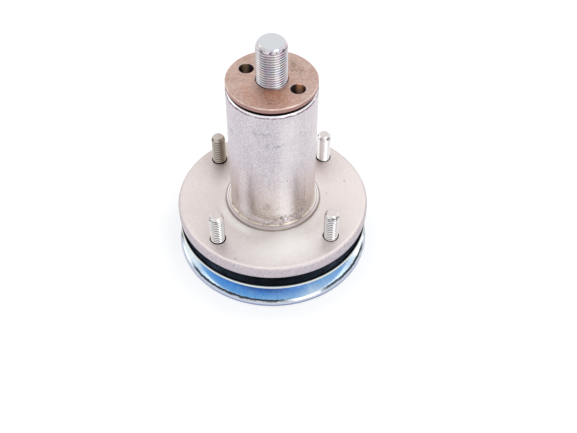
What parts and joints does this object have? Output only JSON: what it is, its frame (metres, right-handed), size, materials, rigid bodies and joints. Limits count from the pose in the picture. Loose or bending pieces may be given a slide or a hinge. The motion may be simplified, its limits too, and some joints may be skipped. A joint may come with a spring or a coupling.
{
  "type": "mower deck spindle",
  "caption": "Upright steel spindle in a flanged bearing housing, with a pressed belt pulley at its foot, a blade driver and threaded end on top, and deck studs in the flange.",
  "frame": {"origin": "on the shaft's axis, in the plane of the pulley's lower rim, which it stands on off the deck", "axes": "+Z along the shaft towards the blade end; the deck studs stand on the diagonals of X and Y"},
  "size_m": [0.1076, 0.1076, 0.136],
  "materials": {
    "drawn_steel": "drawn tube, satin, heat tint at its foot",
    "turned_steel": "fine turned face, satin",
    "braze": "thin run of brazing metal",
    "stud_zinc": "zinc plated, semi bright",
    "shaft_steel": "ground bar with a rolled thread",
    "sintered_bronze": "sintered and machined, matt to satin",
    "key_steel": "bright drawn key bar",
    "pulley_zinc": "blue zinc plated pressing, glossy",
    "bearing_steel": "ground and polished",
    "cage_polymer": "moulded",
    "seal_rubber": "moulded"
  },
  "bodies": {
    "housing": {"housing_tube": "drawn_steel", "mounting_flange": "turned_steel", "braze_fillet": "braze", "mounting_studs": "stud_zinc", "blade_bearing_outer_ring": "bearing_steel", "blade_bearing_lower_seal": "seal_rubber", "blade_bearing_upper_seal": "seal_rubber", "pulley_bearing_outer_ring": "bearing_steel", "pulley_bearing_lower_seal": "seal_rubber", "pulley_bearing_upper_seal": "seal_rubber"},
    "rotor": {"spindle_shaft": "shaft_steel", "blade_driver": "sintered_bronze", "driver_key": "key_steel", "bearing_spacer": "shaft_steel", "pulley_boss": "turned_steel", "pulley_key": "key_steel", "pulley_upper_half": "pulley_zinc", "pulley_lower_half": "pulley_zinc", "pulley_washer": "stud_zinc", "pulley_nut": "stud_zinc", "blade_bearing_inner_ring": "bearing_steel", "pulley_bearing_inner_ring": "bearing_steel"},
    "blade_bearing_set": {"blade_bearing_balls": "bearing_steel", "blade_bearing_cage": "cage_polymer"},
    "pulley_bearing_set": {"pulley_bearing_balls": "bearing_steel", "pulley_bearing_cage": "cage_polymer"}
  },
  "joints": [
    {"name": "rotor_spin", "type": "hinge", "parent": "housing", "child": "rotor", "pos_m": [0, 0, 0.06], "axis": [0, 0, 1], "continuous": true},
    {"name": "blade_bearing_roll", "type": "hinge", "parent": "housing", "child": "blade_bearing_set", "pos_m": [0, 0, 0.096], "axis": [0, 0, 1], "continuous": true},
    {"name": "pulley_bearing_roll", "type": "hinge", "parent": "housing", "child": "pulley_bearing_set", "pos_m": [0, 0, 0.0311], "axis": [0, 0, 1], "continuous": true}
  ],
  "couplings": [
    {"joint": "blade_bearing_roll", "follows": "rotor_spin", "ratio": 0.37937},
    {"joint": "pulley_bearing_roll", "follows": "rotor_spin", "ratio": 0.37937}
  ]
}
